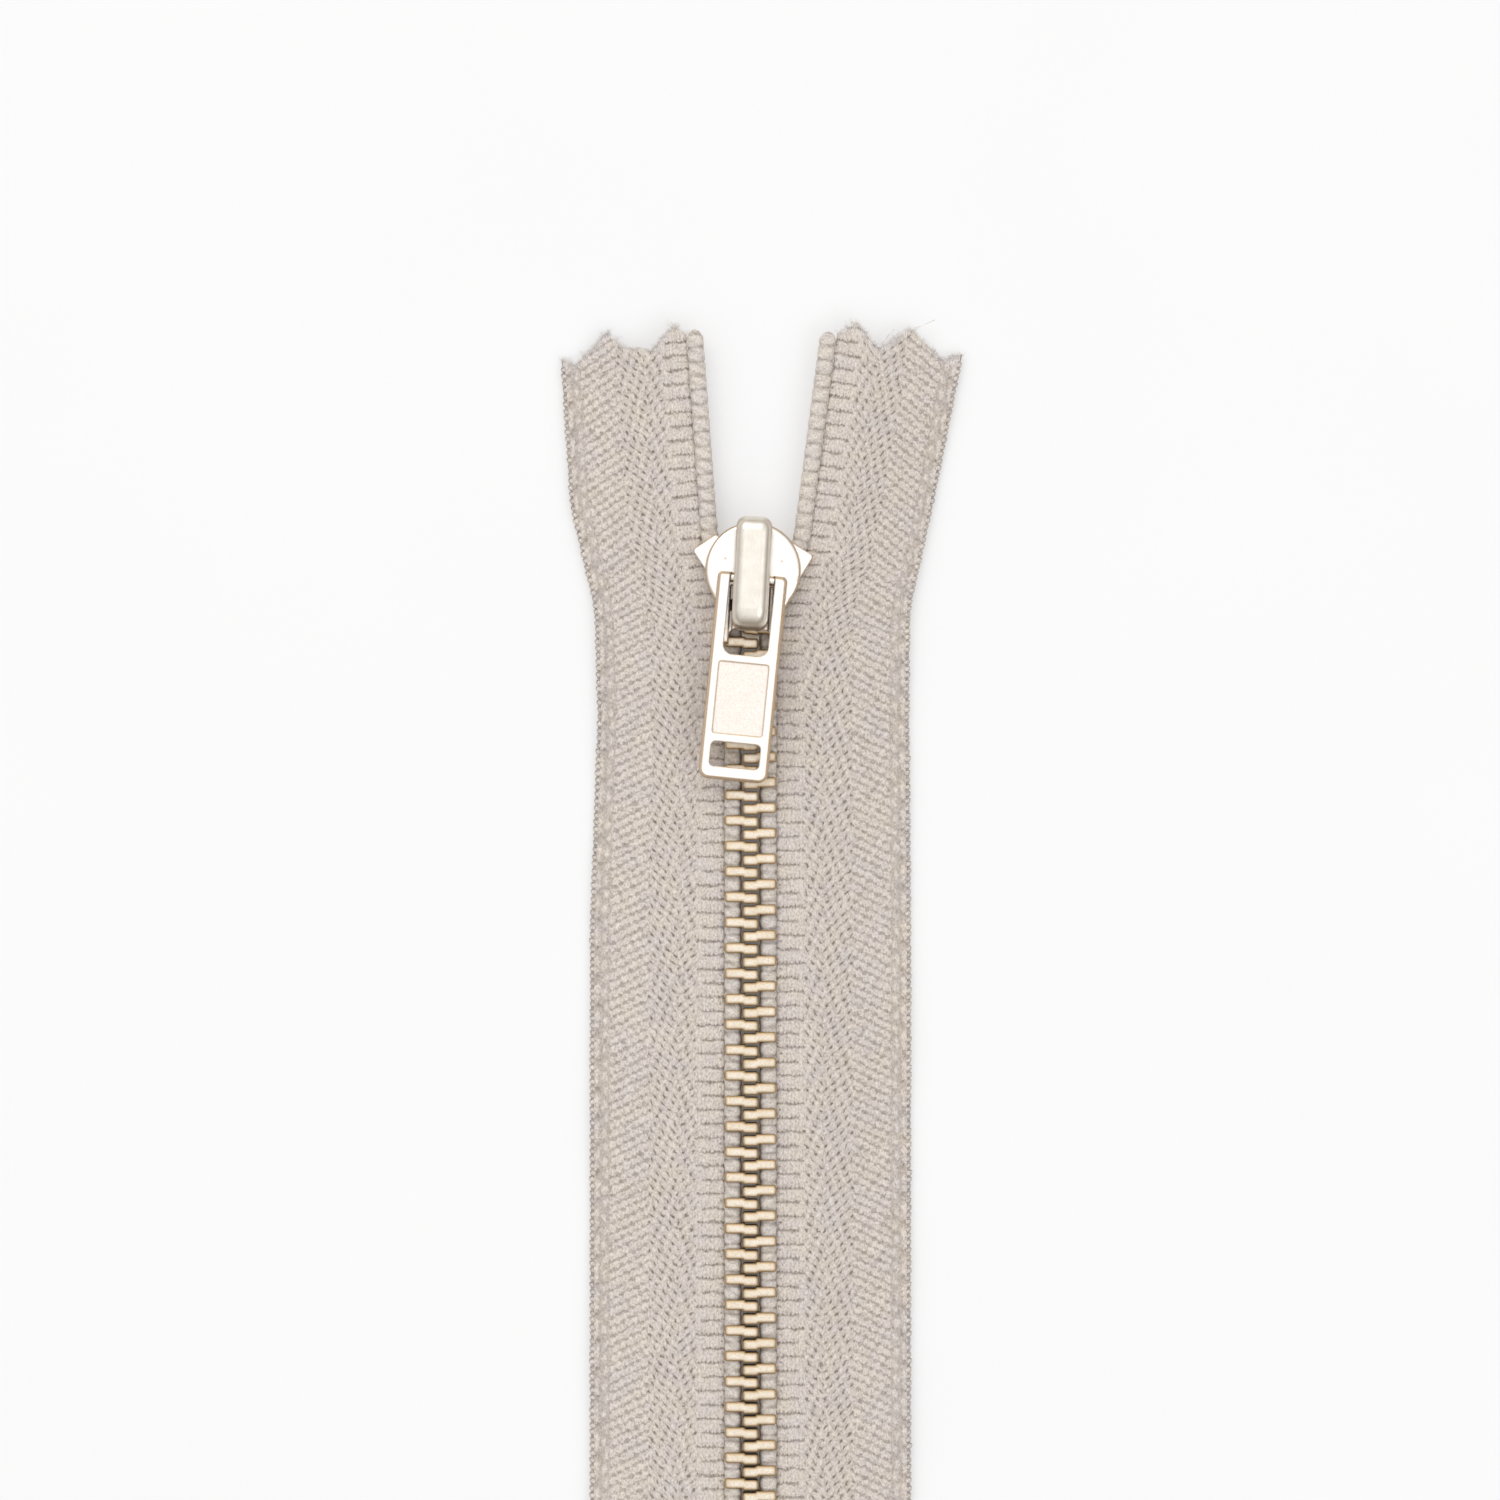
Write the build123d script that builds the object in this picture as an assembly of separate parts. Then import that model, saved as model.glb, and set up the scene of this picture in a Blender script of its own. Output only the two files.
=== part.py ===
from build123d import *
import math
import os

# A closed-end metal zipper, shut, lying flat with its face up. Millimetres.
# While it is drawn, X = 0 is the middle of the chain, Y = 0 is the slider's rear mouth, +Y runs to
# the top end and Z = 0 is the slider's underside. At the end everything is moved so that the origin
# is under the middle of the whole object's box.

# Chain
pitch = 2.165
tooth_thick = 0.87
tooth_tall = 2.1
tooth_step = 0.14
tooth_out = 0.70
tooth_in = 2.15
tooth_leg = 1.05
tooth_round = 0.22
tooth_edge = 0.10
zip_length = 150.0
stop_top = 8.75
end_gap = 0.75

# Tapes and bead cords
tape_thick = 0.5
tape_side = 13.6
tail_length = 20.0
bead_wide = 1.5
bead_tall = 1.26
bead_x = 1.49
bead_round = 0.5
seam_gap = 0.01
clamp_gap = 0.03

# Route of the two bead cords: straight up the chain, out round the slider's wedge, then on in the V
part_y = 2.0
part_radius = 9.0
bend_radius = 5.0
shoulder_left = (3.45, 9.0)
shoulder_right = (4.35, 9.0)
top_left = (4.76, 26.5)
top_right = (6.62, 26.3)

# Slider
lean = 3.0
slider_x = -0.12
plate_thick = 0.9
channel_tall = 2.3
shoulder_radius = 4.05
shoulder_y = 6.35
rear_half = 2.75
waist_half = 2.95
waist_y = 3.3
widest_y = 5.2
flange_thick = 0.32
flange_drop = 0.65
flange_top = 2.9
notch_half = 1.75
notch_long = 1.3
notch_round = 0.5
groove_wide = 0.32
groove_top = 5.0
groove_deep = 0.6
wedge_tip = 5.6
wedge_wide_y = 8.4
wedge_half = 1.0
wedge_front = 9.7
pip_radius = 0.16
pip_sunk = 0.135
pip_x = 2.4
pip_y = 7.2

# Crown
crown_x = -0.07
crown_rear = 1.15
crown_front = 10.85
crown_wide = 3.04
crown_top = 7.0
crown_wall = 0.8
crown_leg = 1.1
crown_round = 0.9
crown_rear_round = 1.9
crown_front_round = 1.2
seat_gap = 0.01

# Pull tab
pull_lean = 5.7
pull_wide = 5.9
pull_thick = 1.1
pull_drop = 17.15
pull_above = 0.42
bar_radius = 0.42
pivot_y = 5.55
pivot_lift = 0.67
slot_wide = 3.8
slot_end = 6.5
slot_round = 0.85
panel_wide = 4.25
panel_long = 6.1
panel_start = 7.15
panel_deep = 0.08
panel_round = 0.2
eye_wide = 4.2
eye_long = 2.1
eye_start = 13.95
eye_round = 0.4
pull_corner = 0.85
arm_corner = 0.45
pull_edge = 0.22

# Lock spring
spring_thick = 0.28
spring_wide = 1.3
spring_front = 9.2
spring_foot = 7.7
spring_over = 0.12
spring_back = 4.3
pawl_x = -1.25
pawl_wide = 0.7
pawl_thick = 0.42
pawl_y = 3.3
pawl_reach = 0.3
window_gap = 0.25

# Stops
stop_wide = 2.5
stop_long = 3.2
stop_start = 5.6
stop_rise_left = 0.4
stop_turn_left = 18.0
stop_turn_right = 9.0
stop_round = 0.3
bottom_long = 3.2
bottom_half = 2.75
bottom_tall = 3.0

# Worked out from the above
tape_z = plate_thick + channel_tall / 2
plate_top = 2 * plate_thick + channel_tall
pivot_z = plate_top + pivot_lift
bead_half = bead_wide / 2
last_tooth = stop_start - end_gap
stop_low = stop_top - zip_length
chain_low = stop_low + bottom_long
tape_low = stop_low - tail_length
tooth_count = 1 + int((last_tooth - chain_low - end_gap - pitch / 2) / pitch)
sides = {"left": -1, "right": 1}


def corner_points(side):
    """The corners of a bead cord's centre line, from the bottom end to the top end."""
    shoulder, top = (shoulder_left, top_left) if side < 0 else (shoulder_right, top_right)
    route = [(bead_x, tape_low), (bead_x, part_y), shoulder, top]
    return [(side * x, y) for x, y in route]


def shifted_points(points, out):
    """The corners of a line that runs beside the given one, at a distance out to its left."""
    unit = []
    for (x0, y0), (x1, y1) in zip(points, points[1:]):
        run = math.hypot(x1 - x0, y1 - y0)
        unit.append(((x1 - x0) / run, (y1 - y0) / run))
    first, last = unit[0], unit[-1]
    shifted = [(points[0][0] - out * first[1], points[0][1] + out * first[0])]
    for (x, y), before, after in zip(points[1:-1], unit, unit[1:]):
        turn = math.atan2(after[1], after[0]) - math.atan2(before[1], before[0])
        miter = out / (1 + math.cos(turn))
        shifted.append((x - miter * (before[1] + after[1]), y + miter * (before[0] + after[0])))
    shifted.append((points[-1][0] - out * last[1], points[-1][1] + out * last[0]))
    return shifted


def edge_line(side, out):
    """A line beside a bead cord's centre line, a distance out towards the tape's outer edge."""
    points = shifted_points(corner_points(side), -side * out)
    return FilletPolyline(*points, radius=(part_radius - out, bend_radius + out))


def cut_points(side):
    """The zigzag of the pinked top end, from the bead cord's outer edge to the tape's outer edge."""
    if side < 0:
        return [(-5.6, 26.4), (-6.6, 27.1), (-8.5, 24.9), (-10.7, 25.2), (-12.3, 26.5), (-15.0, 23.7)]
    return [(7.5, 26.5), (9.0, 27.3), (10.9, 25.1), (13.6, 26.8), (16.3, 24.2)]


def outer_line(side):
    """The tape's outer edge, from the top end down, with its waist beside the slider."""
    if side < 0:
        points = [(-16.1, 24.4), (-15.3, 12.0), (-13.2, 3.0), (-12.95, -6.0), (-tape_side, -24.0)]
    else:
        points = [(18.05, 24.8), (15.5, 12.0), (13.5, 3.0), (13.45, -6.0), (tape_side, -24.0)]
    return FilletPolyline(*points, (side * tape_side, tape_low), radius=12.0)


def make_tape(side):
    """One woven tape, from the seam beside its bead cord to its selvage."""
    inner = edge_line(side, bead_half + seam_gap)
    outer = outer_line(side)
    top = Polyline(inner @ 1, *cut_points(side), outer @ 0)
    teeth_of_cut = [
        (side * (bead_x + bead_half + (tape_side - bead_x - bead_half) * k / 6), tape_low - 2 * (k % 2))
        for k in range(5, 0, -1)
    ]
    bottom = Polyline(outer @ 1, *teeth_of_cut, inner @ 0)
    face = make_face(inner.edges() + top.edges() + outer.edges() + bottom.edges())
    return Pos(0, 0, tape_z - tape_thick / 2) * extrude(face, tape_thick)


def make_bead(side):
    """The thick cord along the inner edge, with its four long edges rounded."""
    inner, outer = edge_line(side, -bead_half), edge_line(side, bead_half)
    ends = [Line(inner @ 1, outer @ 1), Line(outer @ 0, inner @ 0)]
    face = make_face(inner.edges() + outer.edges() + [e.edge() for e in ends])
    cord = extrude(face, bead_tall)
    low, high = cord.faces().sort_by(Axis.Z)[0], cord.faces().sort_by(Axis.Z)[-1]
    long_edges = [e for f in (low, high) for e in f.edges() if e.length > bead_wide + tooth_edge]
    return Pos(0, 0, tape_z - bead_tall / 2) * fillet(long_edges, bead_round)


def make_tooth():
    """One tooth about its bead's centre: two legs round the cord, and a head towards +X."""
    leg_length = tooth_out + tooth_leg
    leg = Pos((tooth_leg - tooth_out) / 2, tooth_step / 2, 0) * Box(leg_length, tooth_thick, tooth_tall)
    head_length = tooth_in - tooth_leg + tooth_round
    head_middle = tooth_in - head_length / 2
    head = Pos(head_middle, -tooth_step / 2, 0) * Box(head_length, tooth_thick, tooth_tall)
    tooth = leg + head
    upright = tooth.edges().filter_by(Axis.Z).group_by(Axis.X)
    tooth = fillet(upright[0] + upright[-1], tooth_round)
    tooth = chamfer(tooth.faces().filter_by(Axis.Z).edges(), tooth_edge)
    hole = Box(bead_wide + 2 * clamp_gap, 2 * tooth_thick, bead_tall + 2 * clamp_gap)
    hole = fillet(hole.edges().filter_by(Axis.Y), bead_round)
    gap = Box(2 * tooth_out + bead_wide, 2 * tooth_thick, tape_thick + 2 * clamp_gap)
    return tooth - hole - Pos(-tooth_out - bead_half, 0, 0) * gap


def on_route(side, along, piece):
    """A piece made about a bead's centre, set on the cord at a distance along from its bottom end."""
    route = edge_line(side, 0.0)
    place = route.position_at(along, position_mode=PositionMode.LENGTH)
    way = route.tangent_at(along, position_mode=PositionMode.LENGTH)
    turn = math.degrees(math.atan2(way.Y, way.X)) - 90
    if side > 0:
        piece = Rot(0, 180, 0) * piece
    return Pos(place.X, place.Y, tape_z) * Rot(0, 0, turn) * piece


def make_teeth(side):
    """A row of teeth, each its own solid. The right row is half a pitch below the left one."""
    tooth = make_tooth()
    lowest = chain_low - tape_low + end_gap + (pitch / 2 if side < 0 else 0)
    return Compound(children=[on_route(side, lowest + k * pitch, tooth) for k in range(tooth_count)])


def make_top_stop(side):
    """A clamp round the bead cord above the last tooth."""
    turn, rise = (stop_turn_left, stop_rise_left) if side < 0 else (stop_turn_right, 0)
    block = Box(stop_wide, stop_long, tooth_tall)
    block = Rot(0, 0, turn) * fillet(block.edges().filter_by(Axis.Z), stop_round)
    hole = Box(bead_wide + 2 * clamp_gap, 2 * stop_long, bead_tall + 2 * clamp_gap)
    hole = fillet(hole.edges().filter_by(Axis.Y), bead_round)
    gap = Pos(-stop_wide / 2, 0, 0) * Box(stop_wide, 2 * stop_long, tape_thick + 2 * clamp_gap)
    block = block - hole - gap
    return on_route(side, stop_start + rise - tape_low + stop_long / 2, block)


def make_bottom_stop():
    """The clamp that holds both bead cords together below the chain."""
    middle = chain_low - bottom_long / 2
    stop = Box(2 * bottom_half, bottom_long, bottom_tall)
    stop = fillet(stop.edges().filter_by(Axis.Z), 2 * stop_round)
    stop = fillet(stop.faces().filter_by(Axis.Z).edges(), stop_round)
    hole = Box(bead_wide + 2 * clamp_gap, 2 * bottom_long, bead_tall + 2 * clamp_gap)
    hole = fillet(hole.edges().filter_by(Axis.Y), bead_round)
    gap = Box(bottom_half, 2 * bottom_long, tape_thick + 2 * clamp_gap)
    for side in sides.values():
        stop = stop - Pos(side * bead_x, 0, 0) * hole
        stop = stop - Pos(side * (bead_x + bottom_half / 2), 0, 0) * gap
    return Pos(0, middle, tape_z) * stop


def slider_outline():
    """The slider's plan: straight sides from the rear mouth, then round shoulders."""
    wide = math.sqrt(shoulder_radius**2 - (shoulder_y - widest_y) ** 2)
    right = [(rear_half, 0), (waist_half, waist_y), (wide, widest_y)]
    left = [(-x, y) for x, y in reversed(right)]
    body = make_face(Polyline(*right, *left, close=True).edges())
    return body + Pos(0, shoulder_y) * Circle(shoulder_radius)


def flange(low):
    """The two side walls that guide the chain, standing on one plate."""
    rim = slider_outline()
    inner = offset(slider_outline(), -flange_thick, kind=Kind.INTERSECTION)
    keep = Pos(0, flange_top / 2) * Rectangle(4 * rear_half, flange_top)
    mouth = Rectangle(2 * (rear_half - flange_thick), 2 * waist_y)
    return Pos(0, 0, low) * extrude((rim - inner - mouth) & keep, flange_drop)


def make_slider_body():
    """Both plates, their flanges and the wedge that parts the teeth, as one casting."""
    outline = slider_outline()
    lower = extrude(outline, plate_thick)
    lower = fillet(lower.faces().sort_by(Axis.Z)[0].edges(), plate_thick / 3)
    upper = Pos(0, 0, plate_top - plate_thick) * extrude(outline, plate_thick)
    upper = fillet(upper.faces().sort_by(Axis.Z)[-1].edges(), plate_thick / 3)
    notch = Box(2 * notch_half, 2 * notch_long, 3 * plate_thick)
    upper -= Pos(0, 0, plate_top) * fillet(notch.edges().filter_by(Axis.Z), notch_round)
    wedge = Polyline(
        (0, wedge_tip),
        (wedge_half, wedge_wide_y),
        (wedge_half, wedge_front),
        (-wedge_half, wedge_front),
        (-wedge_half, wedge_wide_y),
        close=True,
    )
    core = Pos(0, 0, plate_thick) * extrude(make_face(wedge.edges()), channel_tall)
    body = lower + upper + core + flange(plate_thick) + flange(plate_top - plate_thick - flange_drop)
    for side in sides.values():
        body += Pos(side * pip_x, pip_y, plate_top - pip_sunk) * Sphere(pip_radius)
        groove = Box(groove_wide, groove_top, 2 * groove_deep)
        body -= Pos(side * (crown_wide + groove_wide) / 2, groove_top / 2, plate_top) * groove
    window = Box(pawl_wide + 2 * window_gap, pawl_thick + 2 * window_gap, 2 * plate_thick)
    body -= Pos(pawl_x, pawl_y, plate_top) * window
    return body


def make_crown():
    """The bar that arches over the slider, standing on the upper plate at both ends."""
    tall = crown_top - plate_top - seat_gap
    middle = (crown_front + crown_rear) / 2
    arch = Pos(0, middle, tall / 2) * Box(crown_wide, crown_front - crown_rear, tall)
    top_ends = arch.faces().sort_by(Axis.Z)[-1].edges().filter_by(Axis.X).sort_by(Axis.Y)
    arch = fillet(top_ends[0], crown_rear_round)
    top_ends = arch.faces().sort_by(Axis.Z)[-1].edges().filter_by(Axis.X).sort_by(Axis.Y)
    arch = fillet(top_ends[-1], crown_front_round)
    long_edges = [e for e in arch.edges() if e.center().Z > pull_thick and abs(e.center().X) > 1]
    upright = [e for e in arch.edges().filter_by(Axis.Z)]
    arch = fillet(long_edges + upright, crown_round)
    room_long = crown_front - crown_rear - 2 * crown_leg
    room_tall = tall - crown_wall
    room = Pos(0, middle, room_tall / 2) * Box(2 * crown_wide, room_long, room_tall)
    room = fillet(room.faces().sort_by(Axis.Z)[-1].edges().filter_by(Axis.X), crown_wall / 2)
    return Pos(0, 0, plate_top + seat_gap) * (arch - room)


def make_lock_spring():
    """A bent strip, held at its front foot, that passes over the pull's bar and ends in a pawl."""
    foot_z = plate_top + seat_gap
    over_z = pivot_z + bar_radius + spring_over
    back_z = over_z - spring_thick
    points = [
        (spring_front, foot_z),
        (spring_foot, foot_z),
        (pivot_y + 1.0, over_z),
        (pivot_y - 0.7, over_z),
        (spring_back, back_z),
        (pawl_y, plate_top + spring_thick),
    ]
    under = Polyline(*[(0, y, z) for y, z in points])
    over = Polyline(*[(0, y, z + spring_thick) for y, z in points])
    ends = [Line(under @ 0, over @ 0), Line(under @ 1, over @ 1)]
    side_face = make_face(under.edges() + over.edges() + [e.edge() for e in ends])
    strip = extrude(side_face, spring_wide / 2, both=True, dir=(1, 0, 0))
    arm_wide = abs(pawl_x) + pawl_wide / 2
    arm = Pos(-arm_wide / 2, pawl_y, plate_top + 1.5 * spring_thick) * Box(arm_wide, pawl_thick, spring_thick)
    pawl_tall = plate_thick + pawl_reach + 2 * spring_thick
    pawl_z = plate_top + 2 * spring_thick - pawl_tall / 2
    pawl = Pos(pawl_x, pawl_y, pawl_z) * Box(pawl_wide, pawl_thick, pawl_tall)
    return strip + arm + pawl


def make_pull_tab():
    """The puller about its pivot: a cross-bar, two arms beside the crown, a panel and an eye."""
    middle = (pull_above - pull_drop) / 2
    tab = Pos(0, middle, 0) * Box(pull_wide, pull_drop + pull_above, pull_thick)
    upright = tab.edges().filter_by(Axis.Z).sort_by(Axis.Y)
    tab = fillet(upright[2:], arm_corner)
    tab = fillet(tab.edges().filter_by(Axis.Z).sort_by(Axis.Y)[:2], pull_corner)
    tab = chamfer(tab.faces().filter_by(Axis.Z).edges(), pull_edge)
    slot = Pos(0, pull_above - slot_end / 2, 0) * Box(slot_wide, slot_end + 2 * pull_above, 2 * pull_thick)
    slot = fillet(slot.edges().filter_by(Axis.Z), slot_round)
    tab -= slot
    tab += Rot(0, 90, 0) * Cylinder(bar_radius, pull_wide - 2 * pull_edge)
    eye = Pos(0, -eye_start - eye_long / 2, 0) * Box(eye_wide, eye_long, 2 * pull_thick)
    tab -= fillet(eye.edges().filter_by(Axis.Z), eye_round)
    panel = Pos(0, -panel_start - panel_long / 2, pull_thick / 2) * Box(panel_wide, panel_long, 2 * panel_deep)
    return tab - fillet(panel.edges().filter_by(Axis.Z), panel_round)


def make_zipper():
    """Every node by name, in the drawing's own frame."""
    nodes = {}
    for name, side in sides.items():
        nodes["tape_" + name] = make_tape(side)
        nodes["bead_cord_" + name] = make_bead(side)
        nodes["teeth_" + name] = make_teeth(side)
        nodes["top_stop_" + name] = make_top_stop(side)
    nodes["bottom_stop"] = make_bottom_stop()
    slider = Pos(slider_x, 0, 0) * Rot(0, 0, -lean)
    nodes["slider_body"] = slider * make_slider_body()
    nodes["slider_crown"] = slider * Pos(crown_x, 0, 0) * make_crown()
    nodes["lock_spring"] = slider * make_lock_spring()
    nodes["pull_tab"] = slider * Pos(0, pivot_y, pivot_z) * Rot(0, 0, lean - pull_lean) * make_pull_tab()
    return nodes


nodes = make_zipper()
box = Compound(children=[n.moved(Location()) for n in nodes.values()]).bounding_box()
home = Pos(-box.center().X, -box.center().Y, -box.min.Z)
os.makedirs("parts", exist_ok=True)
for name, node in nodes.items():
    export_step(home * node, f"parts/{name}.step")
print("moved by", home.position, "size", box.size, "teeth a side", tooth_count)
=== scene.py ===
import bpy
import math
import numpy as np
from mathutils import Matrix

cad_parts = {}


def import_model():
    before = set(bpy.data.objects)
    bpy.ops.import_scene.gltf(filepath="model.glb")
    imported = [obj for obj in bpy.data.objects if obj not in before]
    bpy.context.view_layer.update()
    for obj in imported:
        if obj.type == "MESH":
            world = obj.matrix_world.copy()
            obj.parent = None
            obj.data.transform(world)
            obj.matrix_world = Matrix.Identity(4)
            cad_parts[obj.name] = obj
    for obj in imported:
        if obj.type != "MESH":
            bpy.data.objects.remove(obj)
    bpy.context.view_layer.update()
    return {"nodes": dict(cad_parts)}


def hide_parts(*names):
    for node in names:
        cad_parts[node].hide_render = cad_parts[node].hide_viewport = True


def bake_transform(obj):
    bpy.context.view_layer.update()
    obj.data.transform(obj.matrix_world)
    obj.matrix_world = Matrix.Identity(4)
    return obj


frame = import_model()
nodes = frame["nodes"]
random = np.random.default_rng(20)

MM = 0.001
SIDES = {"left": -1, "right": 1}

# The part's own dimensions, in millimetres.
# The chain's middle is at MIDDLE_X and the slider's rear mouth at MOUTH_Y; the rest is measured from there.
MIDDLE_X, MOUTH_Y = -0.975, 67.975
TAPE_Z = 2.05
TAPE_LOW = -161.25

# The bead cord's route, for a half on the +X side: straight up the chain, out past the slider, then up the V
BEAD_X, BEAD_HALF, BEAD_TALL_HALF = 1.49, 0.75, 0.63
PART_Y = 2.0
ROUTE_RADII = (9.0, 5.0)
SHOULDER = {-1: (3.45, 9.0), 1: (4.35, 9.0)}
ROUTE_TOP = {-1: (4.76, 26.5), 1: (6.62, 26.3)}

# The tape's outer edge and its pinked top cut, for a half on the +X side, and how far its rows tilt up there
OUTER_RADIUS = 12.0
OUTER = {
    -1: [(16.1, 24.4), (15.3, 12.0), (13.2, 3.0), (12.95, -6.0), (13.6, -24.0), (13.6, TAPE_LOW)],
    1: [(18.05, 24.8), (15.5, 12.0), (13.5, 3.0), (13.45, -6.0), (13.6, -24.0), (13.6, TAPE_LOW)],
}
CUT = {
    -1: [
        (3.0, 26.6), (5.6, 26.4), (6.6, 27.1), (8.5, 24.9), (10.7, 25.2),
        (12.3, 26.5), (15.0, 23.7), (16.1, 24.4), (19.0, 26.0),
    ],
    1: [
        (4.5, 26.1), (7.5, 26.5), (9.0, 27.3), (10.9, 25.1),
        (13.6, 26.8), (16.3, 24.2), (18.05, 24.8), (20.0, 25.6),
    ],
}
ROW_TILT = {-1: math.radians(6.0), 1: math.radians(8.0)}
TILT_START, TILT_RUN = -5.0, 22.0
PINK_TURNS, PINK_DEEP = 6, 2

# The tape across, and the rows of its core: plain ones, and closer ones in its tail and head
TAPE_WIDE = 11.35
TAPE_MARGIN = 0.1
CORE_COLUMNS, CORE_ROW = 25, 1.0
TAIL, TAIL_ROWS = 3.0, 3
HEAD, HEAD_ROWS = 7.0, 12

# The bead cord: how square its section is, its tapered end, its grooves and the twist of its yarns
CORD_SQUARE, CORD_TAPER, CORD_EXTRA = 2.8, 0.7, 0.35
CORD_STEP, CORD_AROUND = 0.18, 14
CORD_GROOVE, CORD_GROOVE_HALF = 0.12, 0.11
CORD_TWIST, CORD_TURN = 0.028, 0.9

# The weave: one repeat along the tape and its parts, half the core's thickness, and how proud the yarns stand
REPEAT = 2.389
ROW, RIB = REPEAT / 4, REPEAT / 2
CORE_HALF = 0.11
YARN_RISE = 0.15
WEAVE_START = {-1: 135.35, 1: 135.86}
SHORT_GROOVE, LONG_GROOVE, GROOVE_HALF = 0.51, 1.70, 0.16
RIBS_SHORT, RIBS_LONG = 1.87, 2.38
STITCH_HOLE, SEAM = (0.27, 2.17), 0.08
STRAND, STRAND_BOW = 0.34, 3.0
PIT, DASH, FLOAT = (0.31, 0.125), (0.20, 0.09), (0.31, 0.16)
TWILL_PITCH = 1.564
PAD_STARTS = ((9.31, 1.36), (8.76, 1.105))
PAD, PAD_TURN = (0.52, 0.325), 60.0
FINE_ACROSS, FINE_ALONG = 0.18, ROW / 4
WEAVE_SWAY, WEAVE_SLIP, WEAVE_WOOL = 0.10, 0.11, 0.04

# How far the tape sags towards its edge, and its soft waves: (height, length)
DROOP, DROOP_START, DROOP_RUN = 1.4, 2.7, 8.2
WAVES = ((0.09, 5.3), (0.07, 2.9), (0.08, 11.0))
RIPPLE, RIPPLE_LONG, RIPPLE_WIDE = 0.03, 1.7, 3.0

# The loops round the tape's rim, and the loose fibres and threads of its cut ends
LOOP_IN, LOOP_OUT, LOOP_HALF, LOOP_RADIUS = 0.36, 0.30, 1.55, 0.20
FIBRES, FIBRE_RINGS = 2400, 4
TOP_SHARE, FIBRE_ROOT, FIBRE_SHORT = 0.72, 0.55, 0.62
THREADS = {
    -1: [((8.3, 25.0), (10.9, 25.3)), ((8.7, 25.2), (10.5, 25.05))],
    1: [((10.5, 25.1), (15.7, 27.7)), ((10.8, 25.0), (13.1, 26.9)), ((11.0, 25.3), (12.2, 26.9))],
}
THREAD, THREAD_BOW, THREAD_HEIGHT = 0.05, 0.15, 1.45
FLOOR_CLEAR = 0.08


# ---------------------------------------------------------------- lines and the tape's map

def rounded_line(corners, radii, step=0.1):
    """Points along straight runs whose inner corners are rounded to the given radii."""
    corners = [np.array(c, float) for c in corners]
    points, start = [], corners[0]
    for last_corner, corner, next_corner, radius in zip(corners, corners[1:], corners[2:], radii):
        back, on = last_corner - corner, next_corner - corner
        back, on = back / np.linalg.norm(back), on / np.linalg.norm(on)
        half = math.acos(np.clip(back @ on, -1, 1)) / 2
        cut = radius / math.tan(half)
        first, last = corner + back * cut, corner + on * cut
        centre = corner + (back + on) / np.linalg.norm(back + on) * radius / math.sin(half)
        points.append(run(start, first, step))
        a0, a1 = (math.atan2(*(p - centre)[::-1]) for p in (first, last))
        turn = (a1 - a0 + math.pi) % (2 * math.pi) - math.pi
        count = max(3, int(abs(turn) * radius / step))
        angles = a0 + turn * np.arange(1, count) / count
        points.append(centre + radius * np.stack([np.cos(angles), np.sin(angles)], 1))
        start = last
    points.append(run(start, corners[-1], step))
    return np.concatenate(points)


def run(a, b, step):
    """Even points from a to b."""
    count = max(2, int(np.linalg.norm(b - a) / step))
    return a + (b - a) * np.linspace(0, 1, count)[:, None]


def smoothstep(x):
    """A soft step from 0 to 1."""
    x = np.clip(x, 0, 1)
    return x * x * (3 - 2 * x)


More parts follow.
